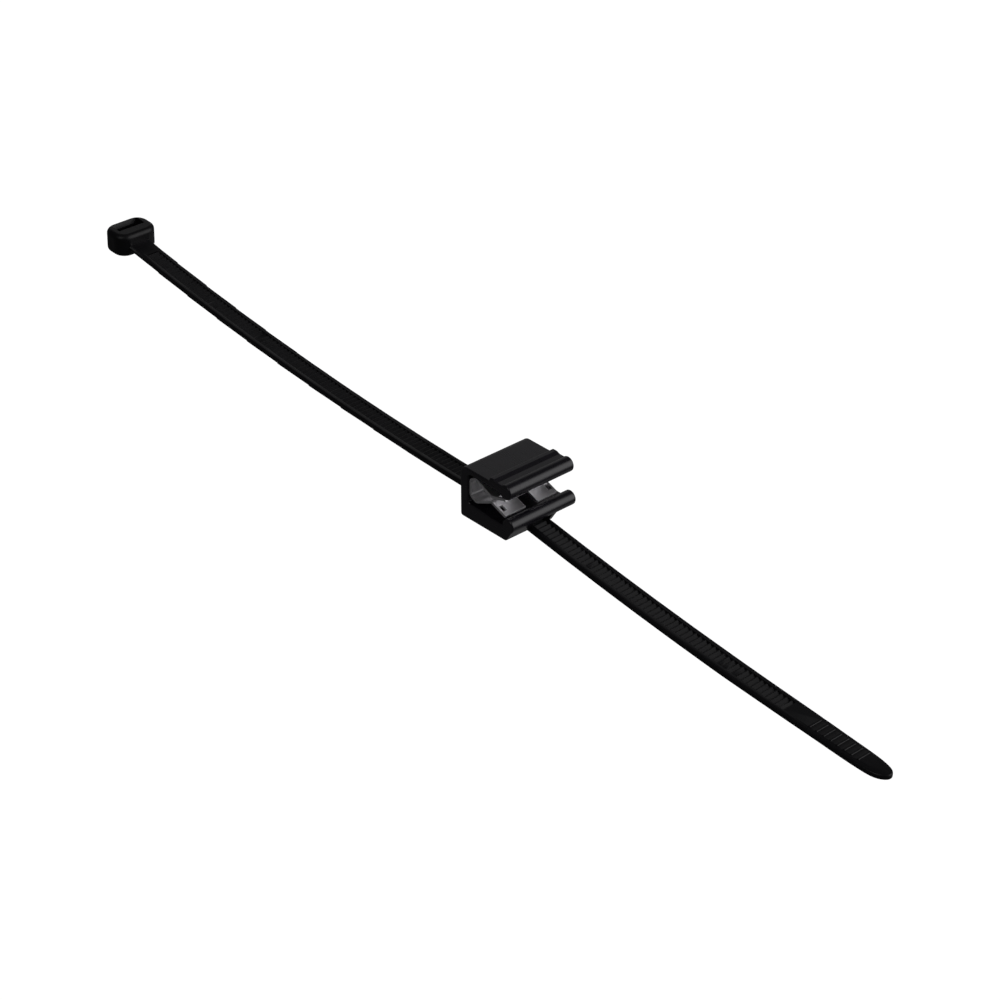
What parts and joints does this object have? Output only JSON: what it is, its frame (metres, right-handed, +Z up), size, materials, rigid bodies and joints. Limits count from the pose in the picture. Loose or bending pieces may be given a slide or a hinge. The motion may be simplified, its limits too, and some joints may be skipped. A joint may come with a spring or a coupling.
{
  "type": "panel edge cable clip",
  "caption": "Black nylon edge clip with a folded steel gripping insert and a captive toothed cable tie threaded through its underside.",
  "frame": {"origin": "centre of the panel slot in the clip body, midway along the clip and midway between the gripping leaves", "axes": "+X out of the slot's mouth and along the tie towards its tail, +Y along the clip and the panel edge, +Z up from the tie to the press face"},
  "size_m": [0.2055, 0.015, 0.0228],
  "materials": {
    "clip_nylon": "satin",
    "spring_steel": "satin",
    "tie_nylon": "satin"
  },
  "bodies": {
    "clip": {"clip_body": "clip_nylon", "steel_insert": "spring_steel"},
    "tie": {"cable_tie": "tie_nylon"}
  },
  "joints": [
    {"name": "tie_slide", "type": "hinge", "parent": "clip", "child": "tie", "pos_m": [-0.00041, 0, 0.64148], "axis": [0, -1, 0], "range_deg": [0, 9.1]}
  ]
}
